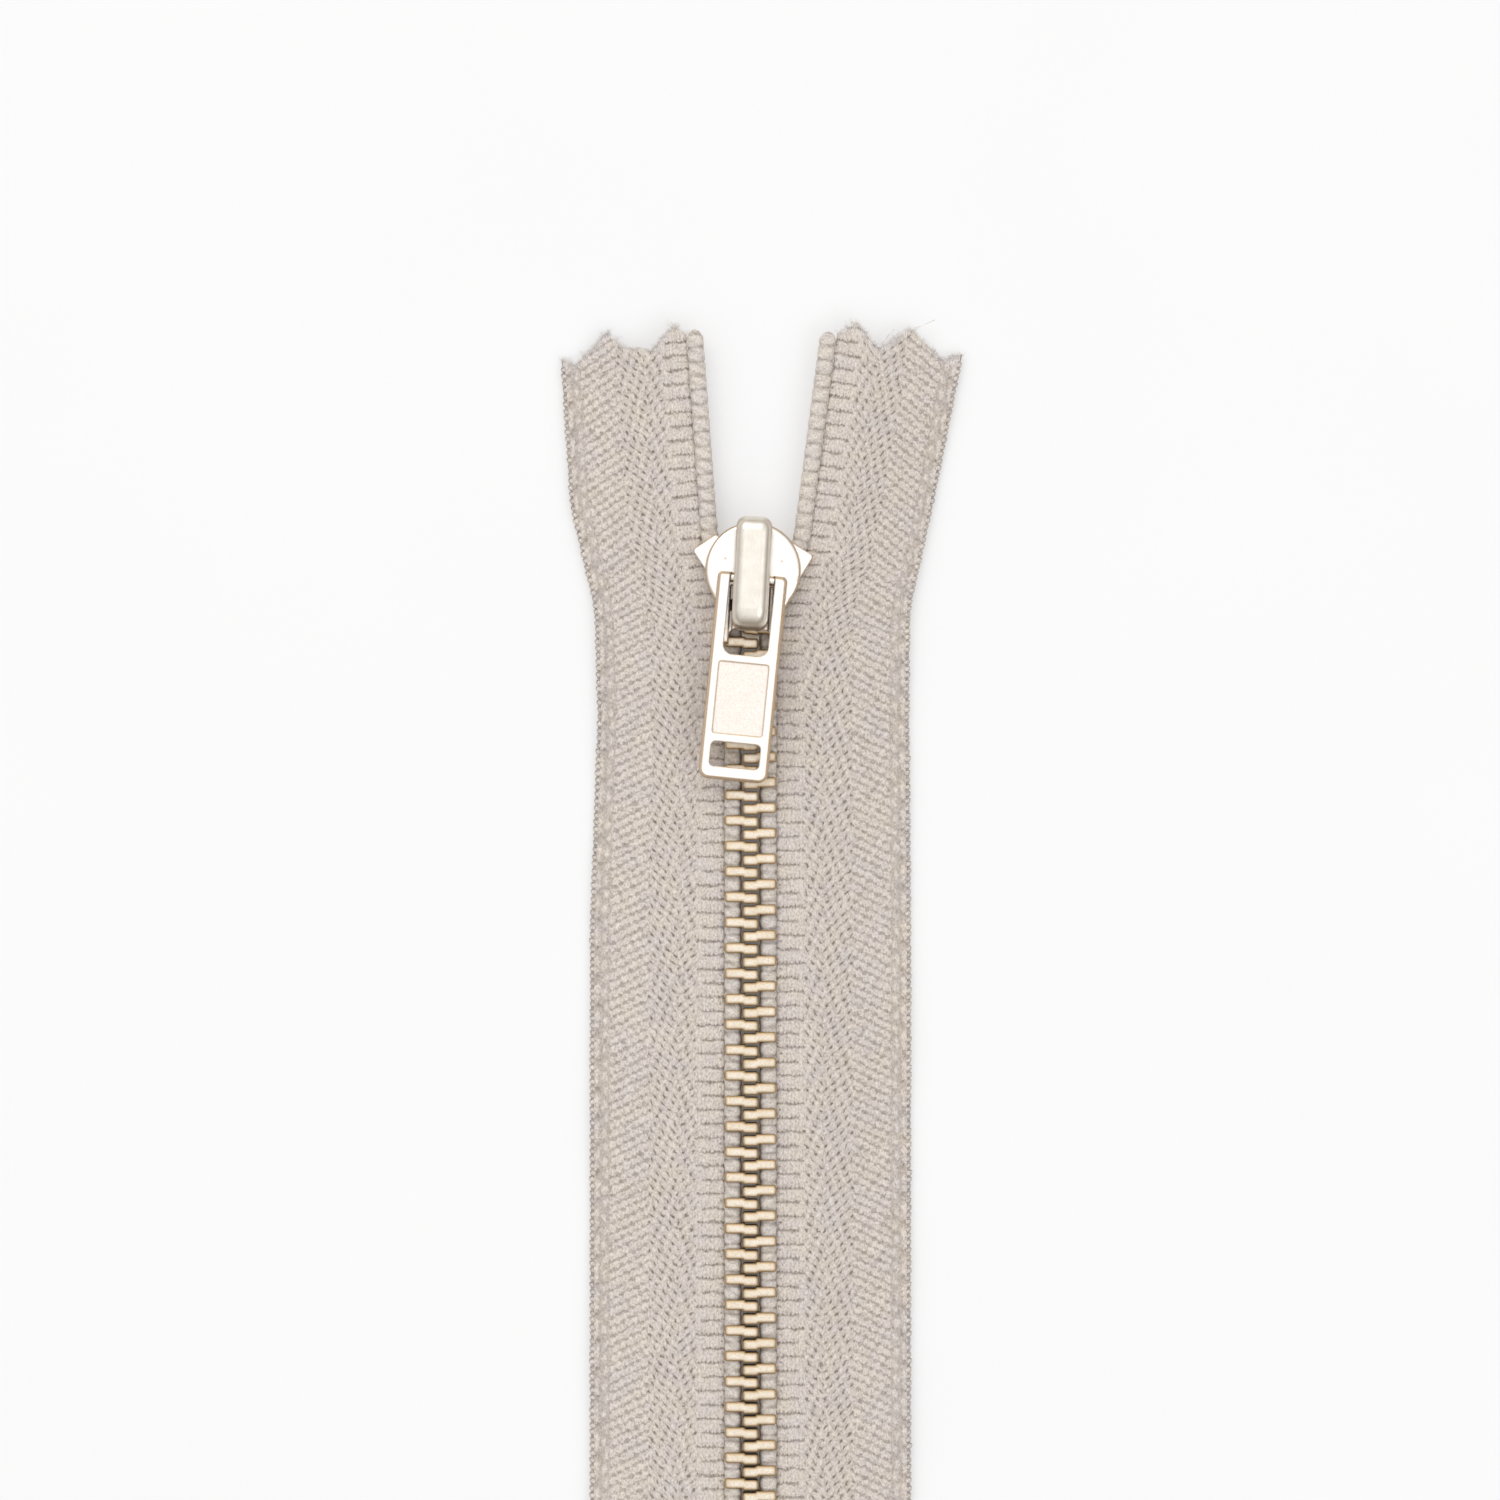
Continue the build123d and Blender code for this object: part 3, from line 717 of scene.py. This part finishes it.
def make_bead(name, half):
    """The bead cord: a firm woven rib with a groove at each repeat and twisted yarns round it."""
    top = half.length + CORD_EXTRA
    along = np.append(np.arange(0, top, CORD_STEP), top)
    around = CORD_AROUND
    middle, way = half.centre(along)
    out = np.stack([way[:, 1], -way[:, 0]], 1)
    angle = (np.arange(around) + 0.5) * 2 * math.pi / around
    c, s = np.cos(angle), np.sin(angle)
    shape = (np.abs(c) ** CORD_SQUARE + np.abs(s) ** CORD_SQUARE) ** (-1 / CORD_SQUARE)
    step = ((along - WEAVE_START[half.side] + LONG_GROOVE) % RIB) / RIB - 0.5
    groove = CORD_GROOVE * np.exp(-((step / CORD_GROOVE_HALF) ** 2))
    twist = CORD_TWIST * np.sin(3 * angle[None] + along[:, None] * 2 * math.pi / CORD_TURN)
    end = np.clip(np.minimum(along, top - along) / CORD_TAPER, 0.0005, 1)[:, None] ** 0.4
    size = (0.975 - groove[:, None] + twist) * end
    x = middle[:, 0, None] + out[:, 0, None] * BEAD_HALF * size * (shape * c)[None]
    y = middle[:, 1, None] + out[:, 1, None] * BEAD_HALF * size * (shape * c)[None]
    z = TAPE_Z + BEAD_TALL_HALF * size * (shape * s)[None]
    points = half.place(x, y, z)
    # Painted shade in the cord's grooves and where its twisted yarns dip, lighter on their crests, with
    # random lightness on top.
    tone = np.clip(0.92 - 6.0 * groove[:, None] + 8 * twist + random.normal(0, 0.05, x.shape), 0, 1)
    faces = tube_faces(1, len(along), around)
    if half.side < 0:
        faces = faces[:, ::-1]
    return new_piece(name, points, faces, cord_yarn, tone=tone)


def make_teeth(name, node):
    """The metal teeth, with their CAD shape."""
    mesh = nodes[node].data.copy()
    mesh.name = name
    mesh.materials.clear()
    mesh.materials.append(brass)
    piece = bpy.data.objects.new(name, mesh)
    bpy.context.scene.collection.objects.link(piece)
    return piece


def loose_threads(half, rings):
    """Paths of the long threads that lie across the notches of the pinked end."""
    t = np.linspace(0, 1, rings)[:, None]
    paths = []
    for a, b in THREADS[half.side]:
        line = np.array(a) + (np.array(b) - a) * t
        x, y = line[:, 0], line[:, 1] + THREAD_BOW * np.sin(math.pi * t[:, 0])
        paths.append(half.place(x, y, np.full(rings, THREAD_HEIGHT)))
    return np.array(paths)


def make_fringe(name, half):
    """Loose fibres at the pinked ends, most of them at the points of the zigzag."""
    count, rings = FIBRES, FIBRE_RINGS
    across = random.uniform(0.01, 0.99, count)
    low, top = half.ends(across)
    near = half.ends(np.clip(across + 0.05, 0, 1))[1] + half.ends(np.clip(across - 0.05, 0, 1))[1]
    peak = np.clip((top - near / 2) * 2.2 + 0.5, 0.3, 2.0)
    at_top = random.uniform(0, 1, count) < TOP_SHARE
    start = np.where(at_top, top - FIBRE_ROOT, low + FIBRE_ROOT)
    way = np.where(at_top, 1.0, -1.0)
    long = random.gamma(3.0, 0.06, count) * np.where(at_top, peak, 0.8) + FIBRE_SHORT
    t = np.linspace(0, 1, rings)[None]
    lean = random.normal(0, 0.24, (count, 1))
    curl = random.normal(0, 0.30, (count, 1))
    along = start[:, None] + way[:, None] * long[:, None] * t * (1 - 0.12 * curl * t)
    w = across[:, None] + (lean * t + curl * t * t) * long[:, None] / TAPE_WIDE
    lift = random.uniform(-0.16, 0.18, (count, 1)) + random.normal(0, 0.12, (count, 1)) * t
    paths = half.surface(w, along, lift)
    paths[..., 2] = np.maximum(paths[..., 2], FLOOR_CLEAR)
    radii = np.broadcast_to(random.uniform(0.015, 0.045, (count, 1)) * (1 - 0.75 * t), w.shape)
    tone = random.uniform(0.2, 1, (count, 1, 1))
    threads = loose_threads(half, rings)
    paths = np.concatenate([paths, threads])
    radii = np.concatenate([radii, np.full(threads.shape[:2], THREAD)])
    tone = np.concatenate([tone, np.ones((len(threads), 1, 1))])
    points = tubes(paths, radii, 3)
    faces = tube_faces(len(paths), rings, 3)
    return new_piece(name, points, faces, fray, tone=np.broadcast_to(tone, points.shape[:3]))


def bends(piece):
    """Bakes a piece's placement into its mesh."""
    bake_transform(piece)


for word, side in SIDES.items():
    half = Half(side)
    cloth = make_cloth("tape_core_" + word, half)
    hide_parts("tape_" + word)
    on_it = [
        make_weave("tape_weave_" + word, half, False),
        make_weave("tape_back_weave_" + word, half, True),
        make_selvage("tape_selvage_" + word, half),
        make_fringe("tape_fringe_" + word, half),
    ]
    for piece in [cloth, *on_it]:
        bends(piece)
    bead = make_bead("bead_yarn_" + word, half)
    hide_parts("bead_cord_" + word)
    bends(bead)
    teeth = make_teeth("teeth_metal_" + word, "teeth_" + word)
    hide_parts("teeth_" + word)
    bends(teeth)


def paint(node, material):
    """A CAD node keeps its shape and takes a better material."""
    mesh = nodes[node].data
    mesh.materials.clear()
    mesh.materials.append(material)


for node in ("top_stop_left", "top_stop_right", "slider_body", "pull_tab"):
    paint(node, nickel)
paint("slider_crown", satin)
paint("lock_spring", steel_in_shade)
paint("bottom_stop", brass)


# ---------------------------------------------------------------- studio

# The sky: its colours from the horizon up, its strength, its tone to the camera, and its tilt to x and y
SKY = [
    (0.0, (0.16, 0.13, 0.10)),
    (0.20, (0.36, 0.33, 0.29)),
    (0.55, (0.70, 0.695, 0.69)),
    (0.95, (0.76, 0.76, 0.76)),
    (0.985, (1.0, 1.0, 1.0)),
]
SKY_STRENGTH, SKY_SEEN = 1.25, 0.75
SKY_TILT = (0.09, 0.14)

# The floor: the paper under the chain and around it, each with a glow that makes up the same white; the glow
# is painted light that keeps shadows light, and its weaker share under the chain leaves painted shade in the
# chain's gaps
FLOOR_HALF = 3000.0
CHAIN_PAPER = ((0.804, 0.810, 0.821), (0.810, 0.816, 0.827))
PAPER = ((0.554, 0.557, 0.563), (0.562, 0.565, 0.571))
FLOOR_GLOW, LIT_GLOW = 0.075, 0.35
CHAIN_HALF, CHAIN_TOP, CHAIN_SOFT = 3.2 * MM, (MOUTH_Y + 4.0) * MM, 1.5 * MM


def make_world():
    """A white sky overhead that falls to a warm dusk at the horizon, for the metal to mirror."""
    world = bpy.data.worlds.new("studio")
    bpy.context.scene.world = world
    world.use_nodes = True
    tree = world.node_tree
    background = tree.nodes["Background"]
    way = tree.nodes.new("ShaderNodeTexCoord").outputs["Generated"]
    split = tree.nodes.new("ShaderNodeSeparateXYZ")
    tree.links.new(way, split.inputs[0])
    ramp = tree.nodes.new("ShaderNodeValToRGB")
    elements = ramp.color_ramp.elements
    while len(elements) < len(SKY):
        elements.new(0.5)
    for element, (position, colour) in zip(elements, SKY):
        element.position = position
        element.color = (*colour, 1)
    x, y, z = (Value(tree, split.outputs[word]) for word in "XYZ")
    height = z + y * SKY_TILT[1] - x * SKY_TILT[0]
    tree.links.new(height.socket, ramp.inputs["Fac"])
    seen = tree.nodes.new("ShaderNodeLightPath").outputs["Is Camera Ray"]
    mix = tree.nodes.new("ShaderNodeMix")
    mix.data_type = "RGBA"
    tree.links.new(seen, mix.inputs["Factor"])
    tree.links.new(ramp.outputs["Color"], mix.inputs[6])
    mix.inputs[7].default_value = (SKY_SEEN, SKY_SEEN, SKY_SEEN, 1)
    tree.links.new(mix.outputs[2], background.inputs["Color"])
    background.inputs["Strength"].default_value = SKY_STRENGTH


def make_light(name, place, size, power, colour):
    """A soft rectangular light that points at the origin."""
    data = bpy.data.lights.new(name, "AREA")
    data.shape, data.size, data.size_y = "RECTANGLE", size, size * 0.8
    data.energy, data.color = power, colour
    light = bpy.data.objects.new(name, data)
    bpy.context.scene.collection.objects.link(light)
    light.location = place
    way = -light.location
    light.rotation_mode = "QUATERNION"
    light.rotation_quaternion = way.to_track_quat("-Z", "Y")


def make_floor():
    """Pale paper that glows a little, so that shadows on it stay light, but less so under the chain."""
    m = Nodes("paper")
    place = m.add("ShaderNodeSeparateXYZ")
    m.join(m.coordinates, place.inputs[0])
    x, y = (Value(m.tree, place.outputs[word]) for word in "XY")
    off = (x - MIDDLE_X * MM).maths("ABSOLUTE")
    # The strip under the chain, where the weaker glow leaves painted shade in the gaps of the chain.
    chain = clipped((CHAIN_HALF - off) / CHAIN_SOFT + 0.5) * clipped((CHAIN_TOP - y) / CHAIN_SOFT + 0.5)
    grain = m.noise(30.0)
    under, around = (m.ramp(grain, [(0.3, dark), (0.7, light)]) for dark, light in (CHAIN_PAPER, PAPER))
    m.join(m.mix(chain.socket, around, under), m.shader.inputs["Base Color"])
    # The glow is painted light that lightens shadows on the paper, weaker in the strip under the chain.
    glow = m.mix(chain.socket, (LIT_GLOW,) * 3, (FLOOR_GLOW, FLOOR_GLOW * 0.98, FLOOR_GLOW * 0.95))
    m.join(glow, m.shader.inputs["Emission Color"])
    m.set(Roughness=0.9, Specular_IOR_Level=0.1, Emission_Strength=1.0)
    corners = [(x * FLOOR_HALF, y * FLOOR_HALF, 0) for x, y in ((-1, -1), (1, -1), (1, 1), (-1, 1))]
    floor = new_piece("floor", corners, [(0, 1, 2, 3)], m.material)


# The camera: its lens and sensor, and its place in millimetres
LENS, SENSOR = 170.0, 36.0
CAMERA = (-1.0175, 59.05, 604.3)


def make_camera():
    """Straight above, as the photograph: a frame of 127.5 mm at the tape's height."""
    data = bpy.data.cameras.new("camera")
    data.lens, data.sensor_width = LENS, SENSOR
    data.clip_start, data.clip_end = 0.05, 20.0
    camera = bpy.data.objects.new("camera", data)
    bpy.context.scene.collection.objects.link(camera)
    camera.location = [c * MM for c in CAMERA]
    bpy.context.scene.camera = camera


make_world()
make_floor()
make_light("key", (-0.30, 0.70, 0.9), 0.8, 3.0, (1.0, 0.985, 0.965))
make_light("fill", (0.5, -0.35, 0.9), 0.8, 1.5, (0.97, 0.98, 1.0))
make_camera()
bpy.context.scene.view_settings.view_transform = "Standard"
